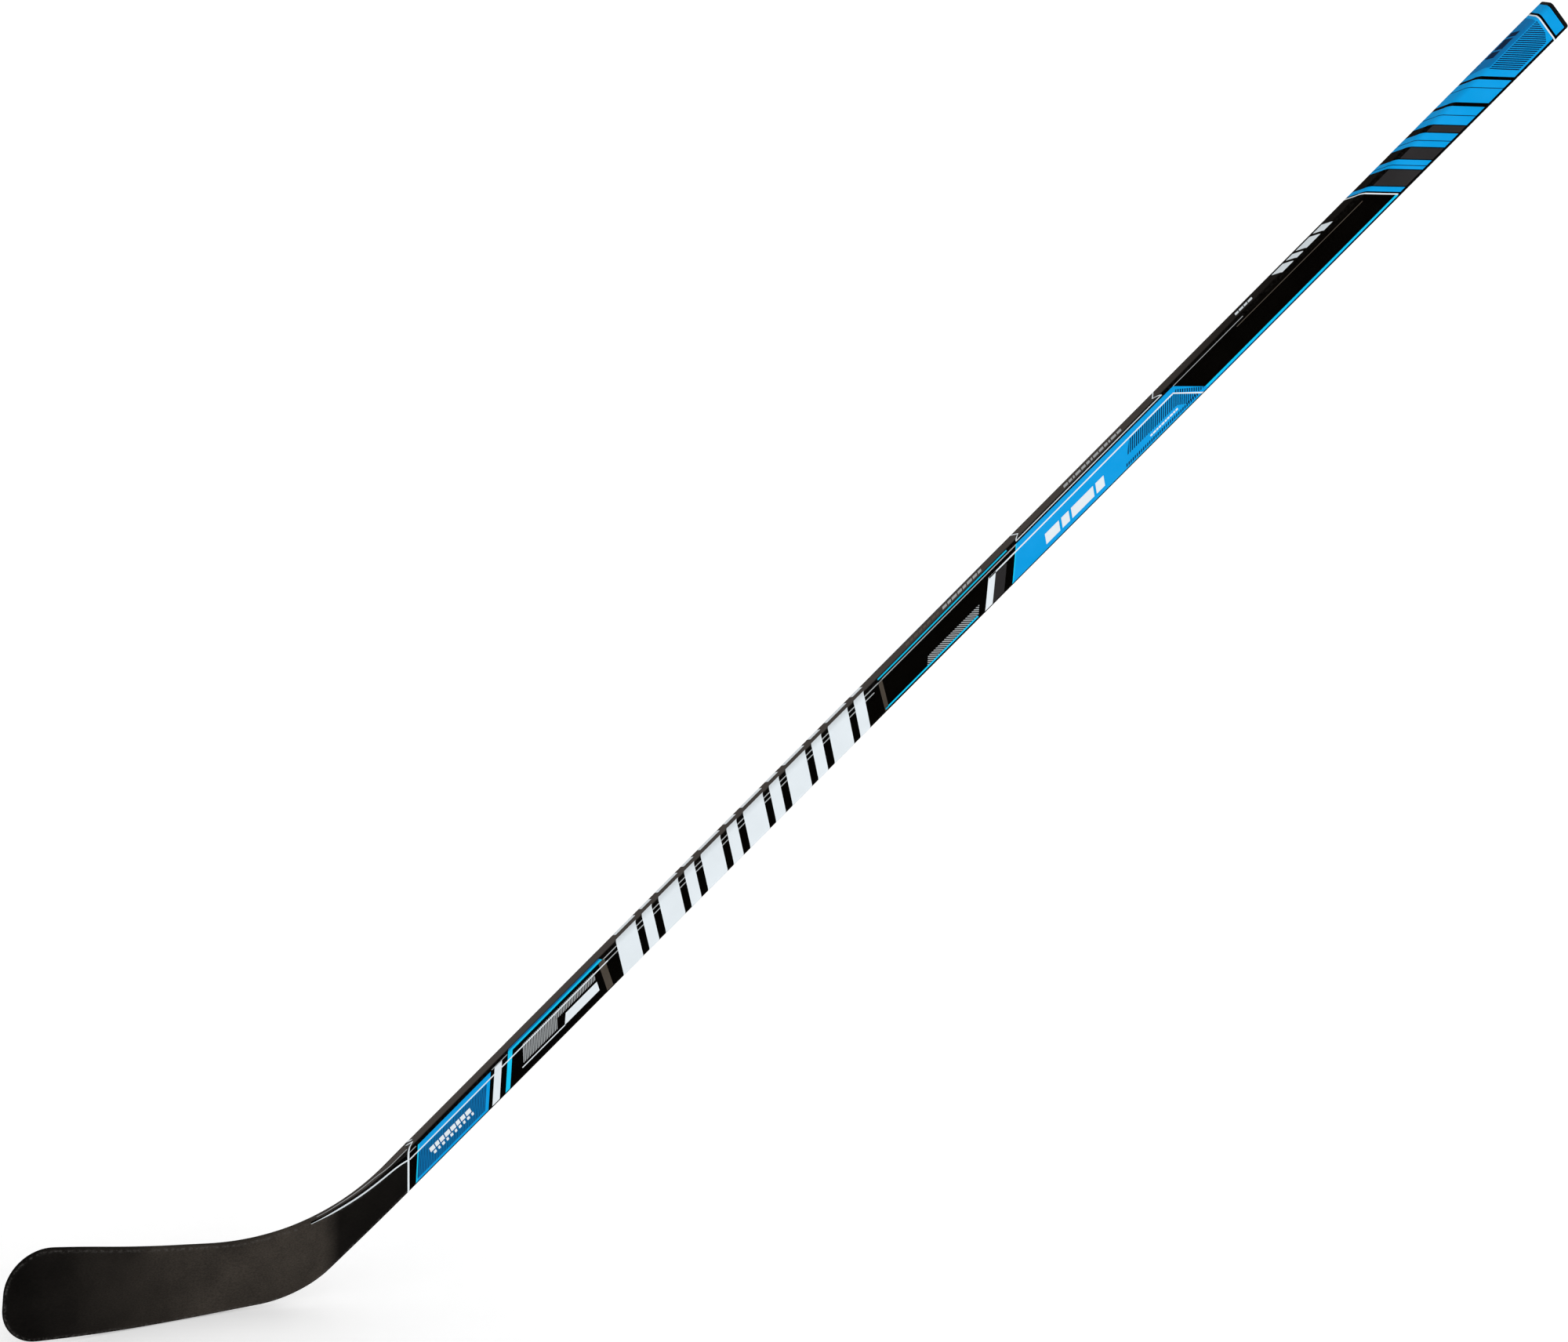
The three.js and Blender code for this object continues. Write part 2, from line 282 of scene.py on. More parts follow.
def finish(name, colour, rough=0.3, tint=0.1, patch=0.05, grain=2.0, bump=0.02, streak=1.0, weave=0.0,
           wear_and_highlight=0.0, wear_and_highlight_colour=(), specular=0.5, coat=0.0, coat_rough=0.1, sheen=0.0, own=True, painted_shading=()):
    """A procedural surface: broad colour patches and a fine grain (noise scales per mm), the grain stretched
    along the piece by streak, a cloth under it with tows weave mm wide, worn edges (on the blade a painted
    highlight along the outline), and painted shading, which is (place along the piece, brightness). own
    says that the mesh brings its grain and edge layers."""
    material = bpy.data.materials.new(name)
    material.use_nodes = True
    n = Nodes(material.node_tree)
    surface = n.tree.nodes["Principled BSDF"]
    if own:
        place = n.add("Attribute", attribute_name="grain").outputs["Vector"]
        edge = n.add("Attribute", attribute_name="edge").outputs["Fac"]
    else:
        where = n.add("TexCoord").outputs["Object"]
        place = n.add("VectorMath", {0: where, 1: (1 / MM,) * 3}, operation="MULTIPLY").outputs[0]
        edge = 0.0
    drawn = n.add("VectorMath", {0: place, 1: (1 / streak, 1, 1)}, operation="MULTIPLY").outputs[0]
    broad = n.noise(place, patch)
    fine = n.noise(drawn, grain, detail=4.0)
    darker = solid([c * (1 - tint) for c in colour])
    lighter = solid([c * (1 + tint) for c in colour])
    shade = n.mix(n.ramp(broad, *PATCHY), darker, lighter)
    speckle = n.ramp(fine, *PATCHY, 1 - tint, 1 + tint)
    grey = n.add("CombineColor", {0: speckle, 1: speckle, 2: speckle}).outputs[0]
    shade = n.mix(1.0, shade, grey, "MULTIPLY")
    relief = fine
    if weave:
        parts = n.add("SeparateXYZ", {0: place}).outputs
        tow = 2 * math.pi / weave
        warp, weft = (n.math("SINE", n.math("MULTIPLY", n.math(way, parts["X"], parts["Y"]), tow))
                      for way in ("ADD", "SUBTRACT"))
        cloth = n.ramp(n.math("MULTIPLY", warp, weft), -1, 1)
        bright = solid([c * CLOTH_BRIGHTER + CLOTH_GLINT for c in colour])
        shade = n.mix(n.math("MULTIPLY", cloth, CLOTH_SHOWS), shade, bright)
        relief = n.math("ADD", fine, n.math("MULTIPLY", cloth, CLOTH_RELIEF))
    # Painted shading: brightness stops along the piece that stand in for light and shade.
    if painted_shading:
        parts = n.add("SeparateXYZ", {0: place}).outputs
        shade = n.mix(1.0, shade, n.steps(parts["X"], painted_shading), "MULTIPLY")
    # Worn edges, from the edge layer and scuff noise; on the blade this lays a painted highlight along the
    # outline.
    if wear_and_highlight:
        scuffs = n.ramp(n.noise(place, **SCUFFS), *SCUFFED)
        wear_and_highlight_share = n.math("MULTIPLY", n.math("MULTIPLY", edge, scuffs), wear_and_highlight, clamp=True)
        shade = n.mix(wear_and_highlight_share, shade, solid(wear_and_highlight_colour))
    smoother = max(rough - ROUGH_CHANGE, ROUGH_LEAST)
    roughness = n.ramp(broad, *PATCHY, smoother, rough + ROUGH_CHANGE)
    bumps = n.add("Bump", {"Height": relief, "Strength": BUMP_STRENGTH, "Distance": bump * MM})
    settings = {"Base Color": shade, "Roughness": roughness, "Specular IOR Level": specular,
                "Coat Weight": coat, "Coat Roughness": coat_rough, "Sheen Weight": sheen,
                "Normal": bumps.outputs["Normal"]}
    for socket, value in settings.items():
        n.feed(surface.inputs[socket], value)
    return material


BLACK = srgb(4, 3, 2)

carbon = finish("clear_gloss_over_black_cloth", BLACK, rough=0.16, tint=0.25, weave=3.2, bump=0.004,
                wear_and_highlight=0.3, wear_and_highlight_colour=srgb(60, 58, 56), specular=0.45, coat=0.3)
# Painted shading along the blade: reach, and how bright its colour is made there to stand in for light and
# shade: dark neck, lighter heel, darker toe.
BLADE_PAINTED_SHADING = ((-62, 0.45), (-37, 0.5), (-23, 2.5), (-10, 2.55), (20, 2.35), (52, 2.15), (80, 2.05),
               (132, 1.35), (186, 0.6), (226, 0.35))
# Its lighter edge colour is painted highlight, laid along the blade's outline and broken up by scuff noise.
matt = finish("matt_grained_laminate", srgb(36, 32, 28), rough=0.6, tint=0.28, patch=0.02, grain=1.3,
              bump=0.06, streak=2.0, wear_and_highlight=0.9, wear_and_highlight_colour=srgb(92, 90, 88), specular=0.12,
              painted_shading=BLADE_PAINTED_SHADING)
rubber = finish("moulded_rubber", srgb(14, 14, 14), rough=0.68, tint=0.15, grain=2.5, bump=0.06,
                wear_and_highlight=0.4, wear_and_highlight_colour=srgb(60, 58, 56), specular=0.3, sheen=0.05)


def print_finish(name, colour, rough=0.2, tint=0.035):
    """Ink under a clear coat, which wears darker on the corners."""
    return finish(name, colour, rough=rough, tint=tint, patch=0.04, grain=3.0, bump=0.004, wear_and_highlight=0.25,
                  wear_and_highlight_colour=[c * 0.7 + 0.02 for c in colour], specular=0.2, coat=0.2, coat_rough=0.06)


INKS = {
    "blue": print_finish("blue_ink", srgb(1, 157, 228)),
    "cyan": print_finish("cyan_ink", srgb(10, 200, 245)),
    "deep_blue": print_finish("deep_blue_ink", srgb(4, 118, 182)),
    "navy": print_finish("navy_ink", srgb(6, 40, 74), tint=0.1),
    "white": print_finish("white_ink", srgb(228, 236, 241), tint=0.02),
    "pale": print_finish("pale_grey_ink", srgb(170, 174, 176)),
    "grey": print_finish("grey_ink", srgb(75, 68, 60), tint=0.12),
    "charcoal": print_finish("charcoal_grip_coat", srgb(46, 44, 45), rough=0.45, tint=0.08),
    "black": print_finish("black_ink", BLACK, tint=0.2),
}


def inked(ink):
    """The record's slot and the finish of an ink; one without a slot of its own shares a neighbour's."""
    return {"deep_blue": "blue", "pale": "white", "charcoal": "grey"}.get(ink, ink) + "_print", INKS[ink]


# --- shaft, seam and butt plug ---
SQUARE = 0  # lean of a section up the shaft, per mm across
SCARF = 1  # 45 degrees, as the joint with the blade is
LEAST_ROUND = 1  # of a corner that is set in
TINY = 1e-6


def nearer_middle(value, change):
    """A coordinate moved towards the middle; one on the middle line stays there."""
    return value + math.copysign(change, -value) if abs(value) > TINY else value


def ring(inset=0.0):
    """(across, out, girth) round a section, set in from the surface."""
    middles = {-BACK_MIDDLE, -NARROW_MIDDLE, 0, NARROW_MIDDLE}
    girths = sorted(middles.union(folds(-BACK_MIDDLE, BACK_MIDDLE)))
    grow = max(CORNER - inset, LEAST_ROUND) - CORNER
    spots = []
    for girth in girths:
        across, out = wrap(girth, grow)
        spots.append((nearer_middle(across, inset + grow), nearer_middle(out, inset + grow), girth))
    return spots


def loft(name, sections, slot, look, body="stick", closed_loop=False):
    """Rings of one section after another, as (inset, place along the midline, lean). The ends join up when
    closed_loop is set, otherwise both are capped."""
    verts, grain, edge = [], [], []
    count = len(ring())
    for inset, along, lean in sections:
        for across, out, girth in ring(inset):
            place = along + lean * across
            verts.append(put(place, across, out))
            grain.append((place, girth, 0))
            edge.append(corner_share(girth))
    last = (len(sections) - 1) * count
    faces = grid_faces(0, len(sections), count)
    if closed_loop:
        faces += strip_faces(last, 0, count)
    else:
        faces += [tuple(range(count)), tuple(range(last, last + count))]
    return make(name, verts, faces, slot, look, grain, edge, body)


TUBE_RINGS = 40
TUBE_LIP = 0.3  # bevel of the tube's end


def build_shaft():
    end = LENGTH - RIM - GAP
    bevel = end - TUBE_LIP
    start = SEAM + SEAM_HALF
    sections = [(0, start, SCARF)]
    sections += [(0, along, SQUARE) for along in np.linspace(SEAM + WIDTH, bevel, TUBE_RINGS)]
    sections += [(TUBE_LIP, end, SQUARE), (WALL - TUBE_LIP, end, SQUARE), (WALL, bevel, SQUARE)]
    sections += [(WALL, SEAM + WIDTH, SQUARE), (WALL, start, SCARF)]
    tube = loft("shaft_outer_tube", sections, "gloss_carbon", carbon, closed_loop=True)
    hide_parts("shaft_tube")

    low, high = SEAM - SEAM_HALF + GAP, SEAM + SEAM_HALF - GAP
    sections = [(0, low, SCARF), (0, high, SCARF), (WALL, high, SCARF), (WALL, low, SCARF)]
    filler = loft("seam_ring", sections, *inked("black"), closed_loop=True)
    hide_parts("seam_filler")


SHANK_CHAMFER = 1.2
SHANK_COLLAR = 0.6  # the stretch below the rim that has no taper
RIM_BEVEL = 0.25
RIM_STEPS = 8
DISH = ((1.8, 0), (2.3, 0.35), (5.2, 0.4))  # in the plug's end: how far in from the rim's round, how deep


def build_plug():
    base = LENGTH - RIM
    inset = WALL + GAP
    tip = base - SHANK
    sections = [(inset + SHANK_TAPER + SHANK_CHAMFER, tip, SQUARE),
                (inset + SHANK_TAPER, tip + SHANK_CHAMFER, SQUARE),
                (inset, base - SHANK_COLLAR, SQUARE), (inset, base, SQUARE),
                (RIM_BEVEL, base, SQUARE), (0, base + RIM_BEVEL, SQUARE)]
    for turn in np.linspace(0, math.pi / 2, RIM_STEPS + 1):
        rise = RIM_ROUND * math.sin(turn)
        sections.append((RIM_ROUND * (1 - math.cos(turn)), LENGTH - RIM_ROUND + rise, SQUARE))
    sections += [(RIM_ROUND + far, LENGTH - deep, SQUARE) for far, deep in DISH]
    plug = loft("butt_plug_moulding", sections, "plug_rubber", rubber, body="butt_plug")
    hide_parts("butt_plug")


# --- blade ---
UP_SHAFT = np.array([-math.cos(LIE), math.sin(LIE)])
ACROSS_SHAFT = np.array([math.sin(LIE), math.cos(LIE)])
ARC_POINTS = 40
PAST_SEAM = 40  # how far the blade's edges are taken to run on up the shaft


def on_shaft(up, across, rounding=0):
    """A corner given along and across the shaft, from the heel corner."""
    return *(UP_SHAFT * up + ACROSS_SHAFT * across), rounding


def rounded_run(*corners):
    """Points along straight runs joined by arcs: corners as (reach, height, rounding)."""
    spots = np.array(corners, dtype=float)[:, :2]
    points = [spots[0]]
    for before, corner, after, (_, _, radius) in zip(spots, spots[1:], spots[2:], corners[1:]):
        back = (before - corner) / np.linalg.norm(before - corner)
        ahead = (after - corner) / np.linalg.norm(after - corner)
        half = math.acos(float(back @ ahead)) / 2
        inward = (back + ahead) / np.linalg.norm(back + ahead)
        centre = corner + inward * radius / math.sin(half)
        enter = corner + back * radius / math.tan(half) - centre
        leave = corner + ahead * radius / math.tan(half) - centre
        start = math.atan2(enter[1], enter[0])
        sweep = (math.atan2(leave[1], leave[0]) - start + math.pi) % (2 * math.pi) - math.pi
        for turn in np.linspace(start, start + sweep, ARC_POINTS + 1):
            points.append(centre + radius * np.array([math.cos(turn), math.sin(turn)]))
    points.append(spots[-1])
    return np.array(points)


TIP = np.array(TOE_LOW) * (1 - TOE_TIP) + np.array(TOE_HIGH) * TOE_TIP
LOWER_EDGE = rounded_run(on_shaft(SEAM - WIDTH / 2, 0), on_shaft(HEEL_UP, 0, HEEL_ROUND),
                         ROCKER, TOE_LOW, TIP)
UPPER_EDGE = rounded_run(on_shaft(SEAM + WIDTH / 2, WIDTH), on_shaft(THROAT_UP, WIDTH, THROAT_ROUND),
                         TOP_EDGE, TOE_HIGH, TIP)


def along_edge(edge, shares):
    """Points at shares of an edge's length, from the seam to the toe."""
    steps = np.linalg.norm(np.diff(edge, axis=0), axis=1)
    places = np.concatenate([[0], np.cumsum(steps)]) / steps.sum()
    return np.stack([np.interp(shares, places, edge[:, i]) for i in (0, 1)], axis=-1)


def distance(points, edge):
    """Shortest distance of each point to an edge that also runs on up the shaft."""
    longer = np.vstack([edge[0] + UP_SHAFT * PAST_SEAM, edge])
    best = np.full(points.shape[:-1], np.inf)
    for start, end in zip(longer, longer[1:]):
        run = end - start
        span = float(run @ run)
        if span < TINY ** 2:
            continue
        share = np.clip(((points - start) @ run) / span, 0, 1)
        best = np.minimum(best, np.linalg.norm(points - start - share[..., None] * run, axis=-1))
    return best


def smoothstep(value, low, high):
    share = np.clip((value - low) / (high - low), 0, 1)
    return share * share * (3 - 2 * share)


def half_thickness(shares):
    """Half the blade's thickness: as deep as the shaft at the seam, and thinner towards the toe."""
    neck = DEPTH / 2 + (BLADE_HALF - DEPTH / 2) * smoothstep(shares, 0, THIN_FROM)
    toe = BLADE_HALF + (TOE_HALF - BLADE_HALF) * smoothstep(shares, THIN_FROM, 1)
    return np.where(shares < THIN_FROM, neck, toe)


def sideways(reach, height):
    """How far out the blade's middle is: the curve and the open face."""
    bend = (np.maximum(reach - CURVE_START, 0) / CURVE_LENGTH) ** CURVE_POWER
    lean = math.tan(OPEN_ANGLE) * smoothstep(reach, 0, OPEN_REACH)
    return lean * (height - OPEN_HEIGHT) - CURVE_DEPTH * bend


def blade_surface(shares, ups, inset=0.0):
    """Places on the blade, set in from its surface, for sections at shares and points at ups (0 at the
    lower edge, 1 at the upper one): (reach, height, out of the middle, half thickness, distance from the
    outline)."""
    low = along_edge(LOWER_EDGE, shares)[:, None, :]
    high = along_edge(UPPER_EDGE, shares)[:, None, :]
    chord = np.linalg.norm(high - low, axis=-1)
    share = inset / chord + ups * (1 - 2 * inset / chord)
    spots = low + (high - low) * share[..., None]
    depth = np.minimum(distance(spots, LOWER_EDGE), distance(spots, UPPER_EDGE))
    thick = (half_thickness(shares) - inset)[:, None]
    rounding = np.minimum(max(CORNER - inset, LEAST_ROUND), EDGE_ROUND * thick)
    sunk = np.clip(1 - (depth - inset) / rounding, 0, 1)
    half = thick - rounding + rounding * np.sqrt(1 - sunk ** 2)
    return spots[..., 0], spots[..., 1], sideways(spots[..., 0], spots[..., 1]), half, depth


PAINTED_RIM_HIGHLIGHT = 2.0  # painted highlight that follows the blade's outline, this far in
PAINTED_RIM_HIGHLIGHT_WIDTH = 0.9


def blade_rings(shares, ups, inset):
    """Rings of vertices: up the forehand side and back down the backhand side."""
    reach, height, middle, half, depth = blade_surface(shares, ups, inset)
    verts, grain, edge = [], [], []
    order = [(j, -1) for j in range(ups.shape[1])] + [(j, 1) for j in reversed(range(ups.shape[1]))]
    for i in range(len(shares)):
        for j, side in order:
            verts.append(at_blade(reach[i, j], height[i, j], middle[i, j] + side * half[i, j]))
            grain.append((reach[i, j], height[i, j], side * half[i, j]))
            # On the blade the edge layer holds a band of painted highlight along the outline, where its
            # rounded edge would catch light.
            edge.append(math.exp(-((depth[i, j] - PAINTED_RIM_HIGHLIGHT) / PAINTED_RIM_HIGHLIGHT_WIDTH) ** 2))
    return verts, grain, edge


BLADE_FROM = 0.002  # share of the blade's length at which its mesh starts, clear of the seam ring
HOLLOW_TO = 0.96  # and at which the hollow for the cores ends
BLADE_ACROSS = 41  # points from the lower edge to the upper one, closer near the edges
OUTER_SECTIONS = 129
INNER_SECTIONS = 50
TOE_CLOSER = 1.35  # power that brings the sections closer together at the toe


def build_blade():
    ups = 0.5 - 0.5 * np.cos(np.linspace(0, math.pi, BLADE_ACROSS))[None, :]
    outer_shares = 1 - (1 - np.linspace(BLADE_FROM, 1, OUTER_SECTIONS + 1)[:-1]) ** TOE_CLOSER
    outer_shares[0] = BLADE_FROM
    inner_shares = np.linspace(BLADE_FROM, HOLLOW_TO, INNER_SECTIONS)
    outer = blade_rings(outer_shares, ups, 0.0)
    inner = blade_rings(inner_shares, ups, SKIN)
    verts, grain, edge = (first + second for first, second in zip(outer, inner))
    inside = len(outer[0])
    count = 2 * BLADE_ACROSS
    faces = grid_faces(0, OUTER_SECTIONS, count) + grid_faces(inside, INNER_SECTIONS, count)
    faces += strip_faces(0, inside, count)
    for last in (inside - count, len(verts) - count):
        for j in range(BLADE_ACROSS - 1):
            faces.append((last + j, last + j + 1, last + count - 2 - j, last + count - 1 - j))
    blade = make("blade_shell", verts, faces, "matt_carbon", matt, grain, edge, smooth=50)
    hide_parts("blade_front_skin", "blade_back_skin")


SHEET_SINK = 0.1  # into the surface
STRIPE_CUTS = 5  # points across a neck stripe
STRIPE_SEARCH = 400  # points from edge to edge for finding a stripe's place


def slab_faces(first, rows, count):
    """Faces of a closed sheet: an upper grid of rows by count vertices from first, then a lower one."""
    below = rows * count
    faces = [face for start in (first, first + below) for face in grid_faces(start, rows, count, False)]
    grid = np.arange(first, first + below).reshape(rows, count)
    rim = [*grid[:-1, 0], *grid[-1, :-1], *grid[:0:-1, -1], *grid[0, :0:-1]]
    ahead = rim[1:] + rim[:1]
    return faces + [(here, there, there + below, here + below) for here, there in zip(rim, ahead)]


def neck_stripe(name, ink, shares, near, far, lift):
    """A sheet on both sides of the neck, between two distances from its upper edge (arrays over shares)."""
    search = np.linspace(0, 1, STRIPE_SEARCH)
    reach, height, _, _, _ = blade_surface(shares, search[None, :])
    gaps = distance(np.stack([reach, height], axis=-1), UPPER_EDGE)
    wanted = near[:, None] + (far - near)[:, None] * np.linspace(0, 1, STRIPE_CUTS)
    ups = np.stack([np.interp(-row, -gap, search) for row, gap in zip(wanted, gaps)])
    reach, height, middle, half, _ = blade_surface(shares, ups)
    verts, grain, faces = [], [], []
    for side in (-1, 1):
        faces += slab_faces(len(verts), len(shares), STRIPE_CUTS)
        for level in (lift, -SHEET_SINK):
            out = middle + side * (half + level)
            for place in np.stack([reach, height, out], axis=-1).reshape(-1, 3):
                verts.append(at_blade(*place))
                grain.append((place[0], place[1], 0))
    return make(name, verts, faces, *inked(ink), grain)


def top_ribbon(name, slot, look, shares, centre, half_width, lift):
    """A sheet along the neck's upper face; centre and half_width are arrays over shares, as parts of the
    flat between the rounded edges."""
    spots = along_edge(UPPER_EDGE, shares)
    run = np.gradient(spots, axis=0)
    run /= np.linalg.norm(run, axis=1)[:, None]
    normal = np.stack([-run[:, 1], run[:, 0]], axis=-1)
    thick = half_thickness(shares)
    flat = thick - np.minimum(CORNER, EDGE_ROUND * thick)
    middle = sideways(spots[:, 0], spots[:, 1])
    verts, grain = [], []
    for i in range(len(shares)):
        for side, level in ((-1, -SHEET_SINK), (1, -SHEET_SINK), (1, lift), (-1, lift)):
            reach, height = spots[i] + normal[i] * level
            verts.append(at_blade(reach, height, middle[i] + flat[i] * (centre[i] + side * half_width[i])))
            grain.append((reach, height, side))
    faces = grid_faces(0, len(shares), 4) + [tuple(range(4)), tuple(range(len(verts) - 4, len(verts)))]
    return make(name, verts, faces, slot, look, grain)


NECK_SECTIONS = 50
NECK_TO = 0.27  # shares of the blade's length at which the neck's sheets end
INNER_TO = 0.255
CLOSEST = 1.3  # of the white stripe to the upper edge
SEAM_DROP = 4.8  # how much further it is at the seam
SEAM_DROP_OVER = 0.042
END_DROP = 90  # and how fast it swings down again at its end
END_DROP_FROM = 0.17
STRIPE_WIDTH = 1.0
STRIPE_TAPER = 0.7
BAND_SHARE = 0.35  # the gloss band's upper edge, as a part of the white stripe's distance
TOP_SHARE = 0.97  # of the upper flat that is glossy
INNER_SIDE = 0.88  # where the paler stripe lies on the flat before it crosses to the middle


def build_neck_stripes():
    """A white stripe and a gloss band on both sides of the neck, and a paler stripe on its gloss top."""
    shares = np.linspace(BLADE_FROM, NECK_TO, NECK_SECTIONS)
    end_drop = END_DROP * np.maximum(shares - END_DROP_FROM, 0) ** 2
    outer = CLOSEST + SEAM_DROP * np.exp(-shares / SEAM_DROP_OVER) + end_drop
    half = (STRIPE_WIDTH - STRIPE_TAPER * smoothstep(shares, 0.2, NECK_TO)) / 2
    neck_stripe("neck_stripe_outer", "white", shares, outer - half, outer + half, lift=0.06)
    neck_stripe("neck_gloss_band", "black", shares, outer * BAND_SHARE, outer - half - 0.1, lift=0.05)
    centre, half = np.zeros(NECK_SECTIONS), np.full(NECK_SECTIONS, TOP_SHARE)
    top_ribbon("neck_gloss_top", "gloss_carbon", carbon, shares, centre, half, lift=0.03)
    shares = np.linspace(BLADE_FROM, INNER_TO, NECK_SECTIONS)
    crossing = smoothstep(shares, 0.05, 0.11) * (1 - smoothstep(shares, 0.19, INNER_TO))
    centre = INNER_SIDE * (crossing - 1)
    half = 0.12 + 0.04 * smoothstep(shares, 0.1, 0.16)
    top_ribbon("neck_stripe_inner", *inked("pale"), shares, centre, half, lift=0.08)


# --- shapes of the printed graphics, as (along, girth) points ---
BASE = -16.0  # girth at which the places of leaning bars are given
BOTTOM = -12.3  # where the wide face's print ends, on the lower corner
TOP = 12.2  # and on the upper corner
LEAN = 1.1  # of the bars and panels near the blade
STRIPE_OUTER = 8.0  # girths of the two pinstripes
STRIPE_INNER = 12.0
CHEVRON_GIRTH = 20.2  # where chevrons on the upper narrow face have their points


def slant(start, end, low, high, lean):
    """A parallelogram from start to end at girth low, leaning along the shaft as it rises to girth high."""
    shift = lean * (high - low)
    return [(start, low), (end, low), (end + shift, high), (start + shift, high)]


def leaning(start, end, high=TOP, lean=LEAN, low=BOTTOM):
    """A bar from the lower corner up to girth high; start and end are its places at girth BASE."""
    shift = lean * (low - BASE)
    return slant(start + shift, end + shift, low, high, lean)


def stroke(points, half_along, half_girth):
    """Quads along a bent line, offset both ways by the same vector."""
    return [[(a0 - half_along, g0 - half_girth), (a1 - half_along, g1 - half_girth),
             (a1 + half_along, g1 + half_girth), (a0 + half_along, g0 + half_girth)]
            for (a0, g0), (a1, g1) in zip(points, points[1:])]


def rule(start, end, girth, half):
    """A straight line along the shaft, half wide to each side."""
    return stroke([(start, girth), (end, girth)], 0, half)


def mirrored(shapes):
    """The same shapes on the backhand side."""
    return [[(along, BACK_MIDDLE - girth) for along, girth in reversed(shape)] for shape in shapes]


def trim(shape, value):
    """The part of a convex shape where value(along, girth) is positive."""
    kept = []
    for here, there in zip(shape, shape[1:] + shape[:1]):
        first, second = value(*here), value(*there)
        if first >= 0:
            kept.append(here)
        if (first >= 0) != (second >= 0):
            share = first / (first - second)
            kept.append(tuple(h + (t - h) * share for h, t in zip(here, there)))
    return kept


def hatch(*regions, pitch, thick, lean):
    """Leaning bars cut to convex regions."""
    bars = []
    for region in regions:
        offsets = [along - lean * girth for along, girth in region]
        start = min(offsets) + (pitch - thick) / 2
        while start < max(offsets):
            rest = trim(region, lambda along, girth: along - lean * girth - start)
            bars.append(trim(rest, lambda along, girth: start + thick - along + lean * girth))
            start += pitch
    return bars


def dashes(start, end, low, high, lean, lengths, gap):
    """A row of plain leaning dashes with lengths taken in turn."""
    shapes = []
    for length in itertools.cycle(lengths):
        if start + length > end:
            return shapes
        shapes.append(slant(start, start + length, low, high, lean))
        start += length + gap


# --- printed sheets ---
LAYER = 0.05  # height of one printed layer above the one below
SINK = 0.04  # how far a sheet reaches into the surface
MERGE = 1e-4  # points this near are one
ON_FOLD = 1e-5  # points this near to a fold are on it


def printed(name, ink, shapes, layer=1, both=True):
    """Convex shapes of (along, girth) as one thin closed sheet, bent round the shaft's corners; both
    repeats them, mirrored, on the backhand side."""
    if both:
        shapes = shapes + mirrored(shapes)
    sheet = bmesh.new()
    for shape in shapes:
        sheet.faces.new([sheet.verts.new((along, girth, 0)) for along, girth in shape])
    bmesh.ops.remove_doubles(sheet, verts=sheet.verts[:], dist=MERGE)
    girths = [girth for shape in shapes for _, girth in shape]
    for fold in folds(min(girths), max(girths)):
        everything = sheet.verts[:] + sheet.edges[:] + sheet.faces[:]
        bmesh.ops.bisect_plane(sheet, geom=everything, dist=ON_FOLD, plane_co=(0, fold, 0),
                               plane_no=(0, 1, 0))
    sheet.verts.index_update()
    flat = [tuple(vert.co)[:2] for vert in sheet.verts]
    count = len(flat)
    tops = [tuple(vert.index for vert in face.verts) for face in sheet.faces]
    rims = [[vert.index for vert in edge.verts] for edge in sheet.edges if len(edge.link_faces) == 1]
    walls = [(first, second, second + count, first + count) for first, second in rims]
    sheet.free()
    faces = tops + [tuple(i + count for i in reversed(face)) for face in tops] + walls
    verts, grain, edges = [], [], []
    for lift in (LAYER * layer, -SINK):
        for along, girth in flat:
            verts.append(put(along, *wrap(girth, lift)))
            grain.append((along, girth, 0))
            edges.append(corner_share(girth))
    return make(name, verts, faces, *inked(ink), grain, edges)


SEAM_LINE_HALF = 1.1
SEAM_CHEVRON = 10.6  # how far the seam line's point is up the shaft from where the flat ends


def print_seam():
    """A white line round the seam, drawn out to a point on the upper narrow face."""
    girths = [-NARROW] + folds(-NARROW, FLAT) + [FLAT]
    point = (SEAM + FLAT + SEAM_CHEVRON, CHEVRON_GIRTH)
    front = [(SEAM + wrap(girth)[0], girth) for girth in girths] + [point]
    printed("seam_line", "white", stroke(front, SEAM_LINE_HALF, 0), layer=4)
    back = [point, (SEAM + WIDTH / 2, BACK_MIDDLE - CHEVRON_GIRTH)]
    printed("seam_line_back", "white", stroke(back, SEAM_LINE_HALF, 0), layer=4, both=False)


def print_lower_panel():
    """The blue panel next to the blade, its hatched darker field and two rows of plain dashes."""
    start, end = 147.0, 236.3
    printed("lower_panel", "blue", [leaning(start, end)])
    printed("lower_panel_edge", "cyan", [leaning(start, start + 2.0)], layer=2)
    field = slant(155.0, 238.5, low=-10.2, high=6.9, lean=LEAN)
    printed("lower_field", "deep_blue", [field], layer=2)
    printed("lower_hatch", "navy", hatch(field, pitch=2.09, thick=0.7, lean=LEAN), layer=3)
    large = dashes(180.5, 235, low=-1.5, high=2.3, lean=0.35, lengths=(5.5, 4.2, 5.0, 6.0), gap=1.2)
    small = dashes(181.5, 234, low=-4.9, high=-2.6, lean=0.35, lengths=(3.0, 2.4), gap=2.4)
    printed("lower_dashes", "white", large + small, layer=4)


